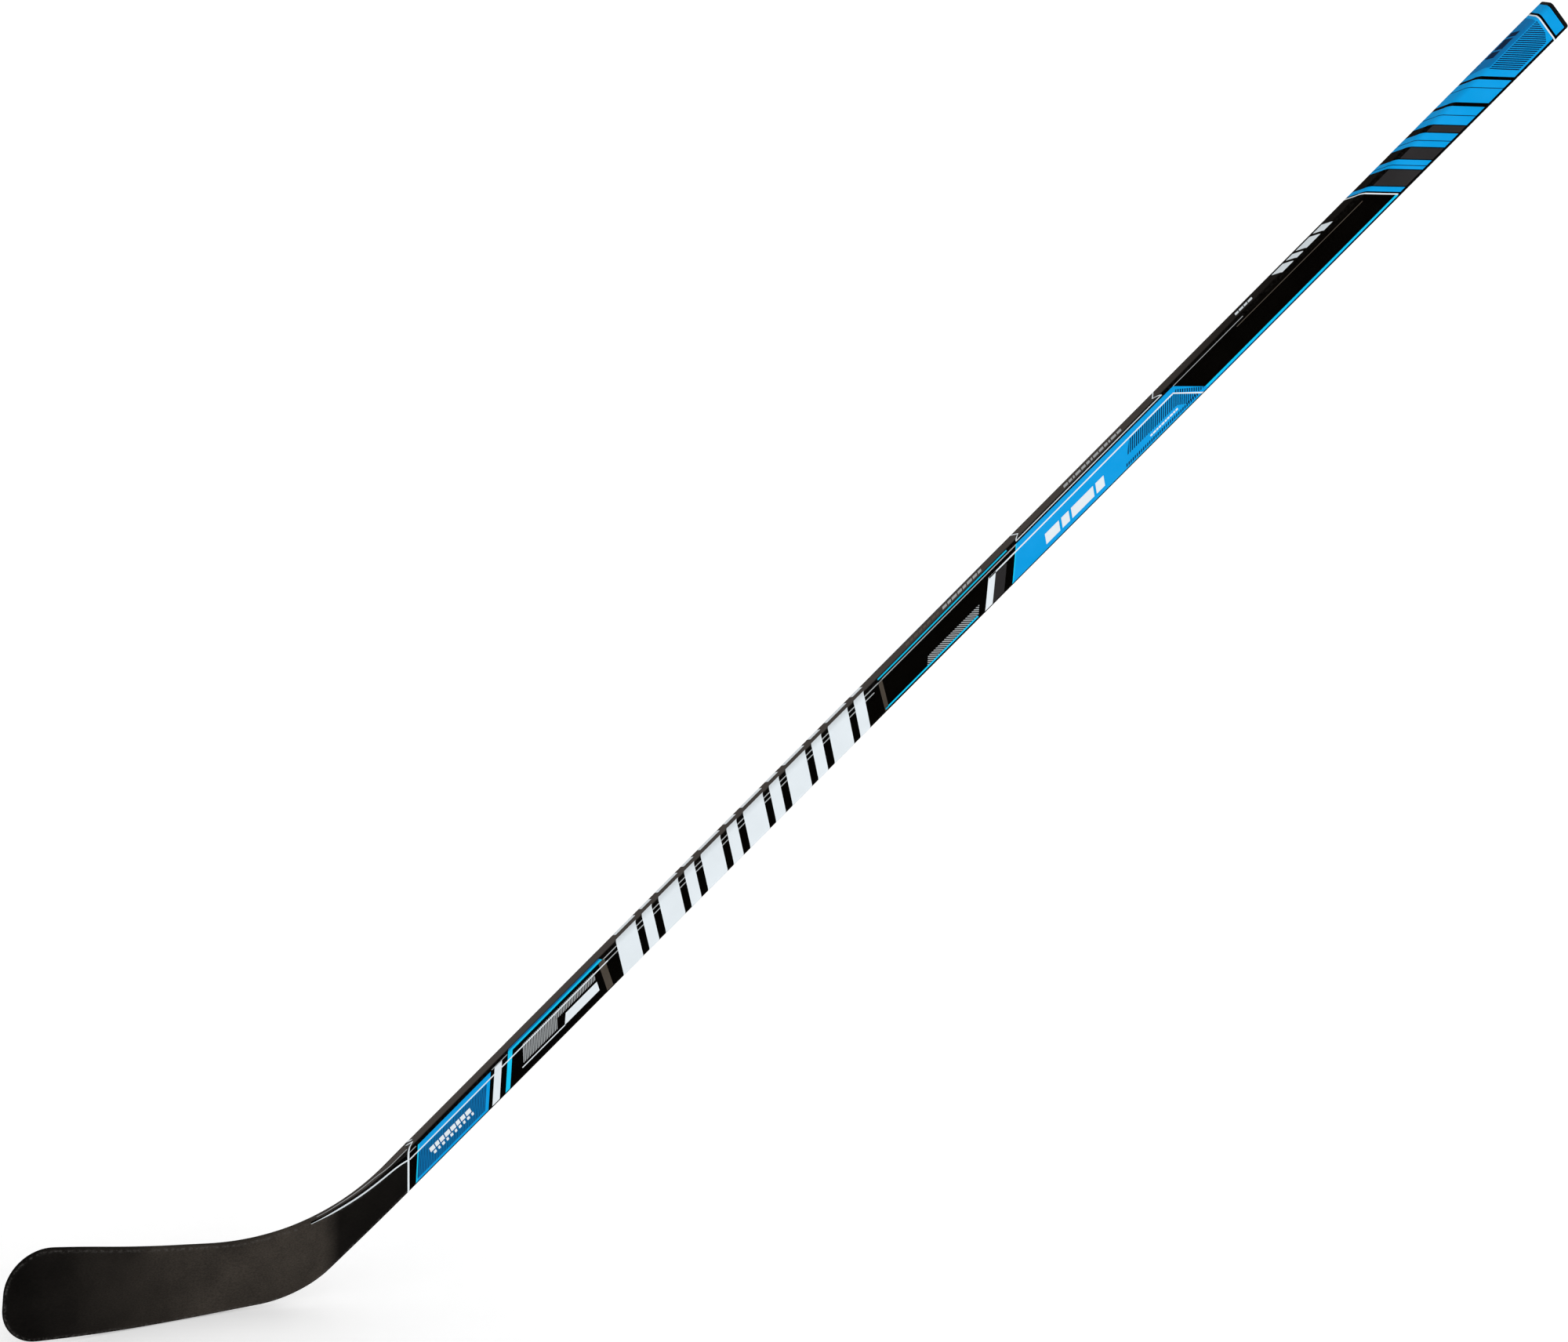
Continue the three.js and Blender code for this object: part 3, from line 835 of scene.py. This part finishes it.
def print_lower_bars():
    """Two bars, then a rail along the upper corner over grey hatching and a white block."""
    printed("lower_white_bar", "white", [leaning(241.2, 250.2)])
    printed("lower_blue_bar", "cyan", [leaning(257.5, 263.1)])
    start, end = 288.5, 404.2
    middle, high = 13.8, 15.3
    border = [(start + 1.7, middle), (end - 1.0, middle)]
    printed("lower_cyan_rail", "cyan", [[(start, TOP), (end, TOP)] + border[::-1]])
    # The rail is darker blue on its upper part, where it turns over the corner.
    printed("lower_dark_rail", "deep_blue", [border + [(end - 1.9, high), (start + 3.4, high)]])
    wide = slant(291.4, 333.5, low=-4.0, high=9.3, lean=0.9)
    thin = slant(339.5, 387.5, low=3.3, high=9.3, lean=0.5)
    printed("lower_pale_hatch", "pale", hatch(wide, thin, pitch=1.93, thick=1.0, lean=0.9))
    block = [(340.2, -6.4), (382.9, -6.4), (386.7, 1.1), (348.6, 1.1)]
    line = rule(288.0, 340.4, girth=-6.5, half=0.45)
    printed("lower_white_block", "white", [block] + line)


def print_grey_bars():
    bars = [leaning(385.2, 392.5, lean=0.5), leaning(727.5, 732.0, lean=0.53)]
    printed("grey_bars", "grey", bars)
    printed("charcoal_bar", "charcoal", [leaning(856.0, 871.5, high=6.0, lean=1.07)])


PINSTRIPE_GAP = 1.5  # between the seam line and the pinstripes
PINSTRIPE_PALER = 407  # where the outer pinstripe turns paler


def print_pinstripes():
    start = SEAM + STRIPE_OUTER + PINSTRIPE_GAP
    outer = rule(start, PINSTRIPE_PALER, STRIPE_OUTER, half=0.5)
    printed("stripe_outer", "white", outer, layer=3)
    pale = rule(SEAM + STRIPE_INNER + PINSTRIPE_GAP, 176, girth=12.6, half=0.3)
    pale += rule(269, 288, girth=12.6, half=0.3)
    pale += rule(404.5, 912, girth=11.8, half=0.4)
    # Painted highlight: a thin pale line on the upper corner, standing in for a reflection on the gloss.
    pale += rule(1104.5, 1190, girth=12.2, half=0.25)
    pale += rule(PINSTRIPE_PALER, 734, STRIPE_OUTER, half=0.4)
    printed("stripe_inner", "pale", pale)
    # Painted highlight: a grey line on both wide faces near the upper corner, standing in for a reflection
    # on the gloss.
    printed("grip_painted_highlight", "grey", stroke([(1180, 9.3), (1334, 8.8)], 0, 0.35))


BLOCK_LEAN = 0.6
BLOCK_START = 405
BLOCK_END = 717
BLOCK_REPEATS = 6
BLOCK_SHARES = ((0.0, 0.46), (0.61, 0.84))  # of one repeat, for its wide and its narrow block
BLOCK_BOTTOM = -14.6
FRONT_TOP = 17.0
BACK_TOP = 20.2


def print_blocks():
    """Plain leaning blocks, wide and narrow in turn, in the place of large lettering."""
    step = (BLOCK_END - BLOCK_START) / BLOCK_REPEATS
    spans = [[BLOCK_START + (repeat + share) * step for share in block]
             for repeat in range(BLOCK_REPEATS) for block in BLOCK_SHARES]
    front, back = ([leaning(*span, top, BLOCK_LEAN, BLOCK_BOTTOM) for span in spans]
                   for top in (FRONT_TOP, BACK_TOP))
    printed("plain_blocks", "white", front + mirrored(back), layer=2, both=False)


def print_middle():
    """Lines, hatching and dashes on the black stretch between the blocks and the upper panel."""
    printed("middle_cyan_rail", "cyan", rule(744, 902, girth=14.2, half=0.65))
    printed("middle_cyan_line", "cyan", rule(731, 845, girth=-10.7, half=0.7))
    region = slant(783.4, 846.4, low=-9.8, high=-3.6, lean=1.0)
    printed("middle_pale_hatch", "pale", hatch(region, pitch=2.6, thick=1.2, lean=-1.0))
    words = dashes(782, 825, low=19.5, high=23.6, lean=0.3, lengths=(4.0, 3.2, 4.6), gap=1.4)
    printed("middle_grey_dashes", "grey", words, both=False)
    words = dashes(827, 878, low=19.2, high=24.0, lean=0.3, lengths=(5.0, 4.0, 6.0), gap=1.2)
    printed("middle_pale_dashes", "pale", words, both=False)


def print_upper_panel():
    """The blue panel, with a rail that runs on from it along the lower corner to the grip."""
    start, end, top_end, grip = 883.0, 1125.4, 1104.3, 1360.1
    lean = 1.045
    step = -9.5  # girth of the border between panel and rail
    left = start + lean * (step - BASE)
    border = [(left, step), (end, step)]
    panel = border + [(top_end, TOP), (left + lean * (TOP - step), TOP)]
    rail = [(left - lean * (step - BOTTOM), BOTTOM), (end, BOTTOM)] + border[::-1]
    beyond = [(grip, step), (end, step)]
    taper = [(end, BOTTOM), (grip + 2.0, -11.5)] + beyond
    printed("upper_panel", "blue", [panel, rail, taper])
    bright = [(end + 1.8, -11.3), (grip + 1.8, -11.3)] + beyond
    printed("upper_cyan_rail", "cyan", [bright], layer=2)
    printed("upper_panel_edge", "cyan", [leaning(start - 1.0, start + 0.4, lean=lean)], layer=2)


def print_upper_marks():
    """White bar, lines and plain blocks on the upper panel, and its hatching and small dashes."""
    bar = leaning(848.3, 857.3, STRIPE_OUTER, lean=1.08)
    line = rule(874.5, 1099.8, STRIPE_OUTER - 0.5, half=0.6)
    down = [(1099.0, 8.1), (1100.6, 8.1), (1121.5, BOTTOM), (1119.5, BOTTOM)]
    blocks = dashes(931, 1004, low=-8.6, high=-0.6, lean=0.6, lengths=(17, 9, 27, 10), gap=3.0)
    printed("upper_white", "white", [bar] + line + [down] + blocks, layer=3)
    field = [(1034.9, -3.2), (1110.5, -3.2), (1100.5, 6.6), (1045.4, 6.6)]
    tail = [(1096.0, -3.2), (1110.5, -3.2), (1116.6, -9.2), (1104.0, -9.2)]
    beyond = [(1101.8, 7.1), (1104.3, 8.5), (1125.0, -9.2), (1119.3, -9.2)]
    ticks = slant(1026.9, 1117.0, low=-10.9, high=-8.6, lean=0.9)
    shapes = hatch(field, tail, pitch=2.55, thick=1.3, lean=0.85)
    shapes += hatch(beyond, pitch=2.84, thick=1.5, lean=0.85)
    shapes += hatch(ticks, pitch=2.55, thick=1.4, lean=0.85)
    printed("upper_hatch", "navy", shapes, layer=2)
    words = dashes(1061, 1095, low=-6.7, high=-5.2, lean=0.3, lengths=(2.6, 3.4, 2.2), gap=0.7)
    printed("upper_dashes", "white", words, layer=2)


def print_narrow_face():
    """Lines along both corners, joined by chevrons, and rows of plain blocks."""
    low = 14.0
    start, end = 914.0, 1091.5
    near, far = low + 0.4, BACK_MIDDLE - low - 0.4
    printed("narrow_line", "white", rule(913.3, 1092.2, low, half=0.4), layer=2)
    chevrons = stroke([(start, near), (919.6, CHEVRON_GIRTH), (start, far)], 0.7, 0)
    chevrons += stroke([(end, near), (1085.0, CHEVRON_GIRTH), (end, far)], 0.7, 0)
    printed("narrow_chevrons", "white", chevrons, layer=2, both=False)
    words = dashes(976, 1048, low=19.0, high=23.6, lean=0.25, lengths=(5.0, 4.0, 2.0, 6.0), gap=1.2)
    printed("narrow_dashes", "pale", words, both=False)
    words = dashes(1187, 1211, low=19.4, high=23.4, lean=0.25, lengths=(4.0, 5.0), gap=0.9)
    words += dashes(1241, 1312, low=15.0, high=25.6, lean=-0.6, lengths=(14, 8, 17, 11), gap=4.0)
    printed("narrow_blocks", "white", words, both=False)


GRIP_LEAN = -0.98
GRIP_GIRTH = -11.2  # girth at which the stripes' places are given
GRIP_LOW = -10.7
GRIP_HIGH = BACK_MIDDLE - GRIP_LOW
GRIP_FOLD = 12.0  # beyond this the stripes turn over the corner
GRIP_PATH = [(GRIP_LOW, 0), (GRIP_FOLD, GRIP_LEAN), (NARROW, -1.25), (BACK_MIDDLE - NARROW, -0.6),
             (BACK_MIDDLE - GRIP_FOLD, -1.25), (GRIP_HIGH, GRIP_LEAN)]  # girths and the lean up to each
WHITE_LINE = (1361.8, 1363.4)
STRIPES = ((1365.4, 1371.3), (1392.8, 1404.0), (1419.9, 1436.8), (1447.0, 1469.4), (1474.1, 1502.0))
STRIPE_LINES = (1397.3, 1427.4, 1458.4, 1492.1)  # thin dark lines along the wider stripes
STRIPE_LINE_HALF = 0.45
GRIP_COATS = ((1372.4, 1391.7), (1405.1, 1418.8), (1437.9, 1445.9))  # charcoal between the stripes
PANEL_START = 1505.9
PANEL_END = 1566.7


def grip_shifts():
    """(girth, shift along) at each bend of a stripe."""
    shift = GRIP_LEAN * (GRIP_LOW - GRIP_GIRTH)
    spots = [(GRIP_LOW, shift)]
    for (before, _), (girth, lean) in zip(GRIP_PATH, GRIP_PATH[1:]):
        shift += lean * (girth - before)
        spots.append((girth, shift))
    return spots


def wind(stripes, low=GRIP_LOW, high=GRIP_HIGH):
    """Stripes, as (start, end), that wind over the grip between two of its bends."""
    spots = [spot for spot in grip_shifts() if low <= spot[0] <= high]
    return [[(start + s0, g0), (end + s0, g0), (end + s1, g1), (start + s1, g1)]
            for start, end in stripes for (g0, s0), (g1, s1) in zip(spots, spots[1:])]


def print_grip():
    printed("grip_white_line", "white", wind([WHITE_LINE]), layer=2, both=False)
    printed("grip_stripes", "blue", wind(STRIPES), both=False)
    lines = [(middle - STRIPE_LINE_HALF, middle + STRIPE_LINE_HALF) for middle in STRIPE_LINES]
    printed("grip_stripe_lines", "navy", wind(lines), layer=2, both=False)
    coats = wind(GRIP_COATS, high=GRIP_FOLD) + wind(GRIP_COATS, low=BACK_MIDDLE - GRIP_FOLD)
    printed("grip_coat", "charcoal", coats, both=False)


def print_grip_panel():
    """The blue panel at the butt, with darker fields, plain dashes and two lines round the end."""
    spots = grip_shifts()
    panel = [[(PANEL_START + s0, g0), (PANEL_END, g0), (PANEL_END, g1), (PANEL_START + s1, g1)]
             for (g0, s0), (g1, s1) in zip(spots, spots[1:])]
    printed("grip_panel", "blue", panel, both=False)
    low = GRIP_FOLD + 0.6
    high = BACK_MIDDLE - low
    end = 1549.5
    narrow = [(1493.0, low), (end, low), (end, high), (1474.0, high)]
    printed("grip_narrow_field", "deep_blue", [narrow], layer=2, both=False)
    end = 1550.5
    region = [(1511.5, -8.8), (1546.0, -8.8), (end, -1.0), (end, GRIP_FOLD), (1492.0, GRIP_FOLD)]
    bars = hatch(region, pitch=2.47, thick=1.4, lean=GRIP_LEAN)
    printed("grip_hatch", "navy", bars, layer=2, both=False)
    words = dashes(1502, 1546, low=17.5, high=26.8, lean=-0.4, lengths=(9, 14, 6), gap=2.2)
    printed("grip_dashes", "navy", words, layer=3, both=False)
    round_it = {"low": -BACK_MIDDLE + 0.001, "high": BACK_MIDDLE - 0.001, "lean": 0}
    printed("end_white_line", "white", [slant(1552.9, 1554.2, **round_it)], layer=3, both=False)
    printed("end_black_line", "black", [slant(1554.3, 1556.5, **round_it)], layer=3, both=False)


# --- inner pieces, which keep the solids' own meshes ---
glue = finish("hot_melt_glue", srgb(176, 138, 74), rough=0.4, tint=0.12, patch=0.08, grain=0.6, bump=0.08,
              coat=0.3, own=False)
foam = finish("foam_block", srgb(216, 207, 168), rough=0.9, tint=0.12, grain=1.4, bump=0.3, sheen=0.1,
              own=False)
resin = finish("cured_resin", srgb(106, 102, 95), rough=0.55, tint=0.15, grain=0.8, bump=0.1, own=False)
INNER_LOOKS = {"tenon_glue": glue, "shaft_foam_dam": foam, "blade_core_lower": foam,
               "blade_core_upper": foam, "blade_hosel": resin, "blade_core_bridge": resin}


def dress_inner_pieces():
    for node, look in INNER_LOOKS.items():
        materials = frame["nodes"][node].data.materials
        materials.clear()
        materials.append(look)


# --- floor, light and camera ---
FLOOR_REACH = 30.0
BACKDROP_AT = 3.2
BACKDROP_BEND = 1.6
BACKDROP_HEIGHT = 5.0
BACKDROP_STEPS = 16
FLOOR_GLOW = 0.28  # lit from below, as on a light table
FLOOR_GREY = (0.94, 0.94, 0.94)


def build_floor():
    """A plain pale floor that curves up into a backdrop behind the stick."""
    profile = [(-FLOOR_REACH, 0.0), (BACKDROP_AT, 0.0)]
    for turn in np.linspace(0, math.pi / 2, BACKDROP_STEPS + 1)[1:]:
        back = BACKDROP_AT + BACKDROP_BEND * math.sin(turn)
        profile.append((back, BACKDROP_BEND * (1 - math.cos(turn))))
    profile.append((BACKDROP_AT + BACKDROP_BEND, BACKDROP_HEIGHT))
    verts = [(side * FLOOR_REACH, y, z) for y, z in profile for side in (-1, 1)]
    faces = [(2 * i, 2 * i + 1, 2 * i + 3, 2 * i + 2) for i in range(len(profile) - 1)]
    mesh = bpy.data.meshes.new("floor")
    mesh.from_pydata(verts, [], faces)
    mesh.shade_smooth()
    pale = finish("pale_floor", FLOOR_GREY, rough=0.8, tint=0.01, patch=0.002, grain=0.05, bump=0.05,
                  specular=0.1, own=False)
    inputs = pale.node_tree.nodes["Principled BSDF"].inputs
    inputs["Emission Color"].default_value = (1, 1, 1, 1)
    inputs["Emission Strength"].default_value = FLOOR_GLOW
    mesh.materials.append(pale)
    floor = add_object("floor", mesh)
    floor.visible_glossy = False


ROOM_LIGHT = 0.72  # even light from all round
WALL_LIGHT = 0.38  # wall that shiny faces reflect, seen behind the stick (directions along Y)
WALL_RISE = (0.3, 0.85)
WALL_FALL = (0.985, 0.93)
WALL_FADE = (0.15, 0.2)  # it ends towards the butt (directions along the shaft)
WALL_REST = 0.12
WALL_COLOUR = (1, 0.87, 0.79, 1)


def build_world():
    """Even white light before a white background; reflections see a dark room with a warm grey wall."""
    world = bpy.data.worlds.new("studio")
    bpy.context.scene.world = world
    world.use_nodes = True
    n = Nodes(world.node_tree)
    n.tree.nodes.clear()
    rays = n.add("LightPath").outputs
    room_level = n.math("MAXIMUM", rays["Is Camera Ray"], ROOM_LIGHT)
    room = n.add("Background", {"Color": (1, 1, 1, 1), "Strength": room_level})
    direction = n.add("TexCoord").outputs["Generated"]
    behind = n.add("SeparateXYZ", {0: direction}).outputs["Y"]
    level = n.math("MULTIPLY", n.ramp(behind, *WALL_RISE), n.ramp(behind, *WALL_FALL))
    up_shaft = n.add("VectorMath", {0: direction, 1: ALONG}, operation="DOT_PRODUCT")
    fade = n.ramp(up_shaft.outputs["Value"], *WALL_FADE, WALL_LIGHT, WALL_LIGHT * WALL_REST)
    level = n.math("MULTIPLY", level, fade)
    wall = n.add("Background", {"Color": WALL_COLOUR, "Strength": level})
    blend = n.add("MixShader", {0: rays["Is Glossy Ray"], 1: room.outputs[0], 2: wall.outputs[0]})
    n.add("OutputWorld", {"Surface": blend.outputs[0]})
    world.cycles.sampling_method = "NONE"  # otherwise reflections also sample the white light


KEY_FROM = Vector((1.2, -3.0, 0.3))  # from the middle of the shaft, in metres
KEY_SIDE = 2.4
KEY_POWER = 24


def build_light():
    """A wide soft light in front, which shiny faces don't reflect."""
    middle = put(LENGTH / 2, 0, 0)
    light = bpy.data.lights.new("key", "AREA")
    light.shape = "RECTANGLE"
    light.size = light.size_y = KEY_SIDE
    light.energy = KEY_POWER
    lamp = add_object("key", light)
    lamp.location = middle + KEY_FROM
    lamp.rotation_euler = (middle - lamp.location).to_track_quat("-Z", "Y").to_euler()
    lamp.visible_glossy = False


# The camera sees the forehand and upper narrow faces, rolled so that the shaft climbs to the right.
CAMERA_AWAY = 2.450
CAMERA_TURN = math.radians(25)
CAMERA_ROLL = math.radians(45.14)
CAMERA_TARGET = 692.5
CAMERA_LENS = 64.65
CAMERA_SHIFT = (-0.0377, 0.0372)


def build_camera():
    back = ACROSS * math.sin(CAMERA_TURN) - OUT * math.cos(CAMERA_TURN)
    rise = ACROSS * math.cos(CAMERA_TURN) + OUT * math.sin(CAMERA_TURN)
    right = ALONG * math.cos(CAMERA_ROLL) - rise * math.sin(CAMERA_ROLL)
    up = ALONG * math.sin(CAMERA_ROLL) + rise * math.cos(CAMERA_ROLL)
    lens = bpy.data.cameras.new("camera")
    lens.lens = CAMERA_LENS
    lens.shift_x, lens.shift_y = CAMERA_SHIFT
    camera = add_object("camera", lens)
    place = put(CAMERA_TARGET, 0, 0) + back * CAMERA_AWAY
    turn = Matrix((right, up, back)).transposed().to_4x4()
    camera.matrix_world = Matrix.Translation(place) @ turn
    bpy.context.scene.camera = camera


build_shaft()
build_plug()
build_blade()
build_neck_stripes()
print_seam()
print_lower_panel()
print_lower_bars()
print_grey_bars()
print_pinstripes()
print_blocks()
print_middle()
print_upper_panel()
print_upper_marks()
print_narrow_face()
print_grip()
print_grip_panel()
dress_inner_pieces()
build_floor()
build_world()
build_light()
build_camera()
bpy.context.scene.view_settings.view_transform = "Standard"
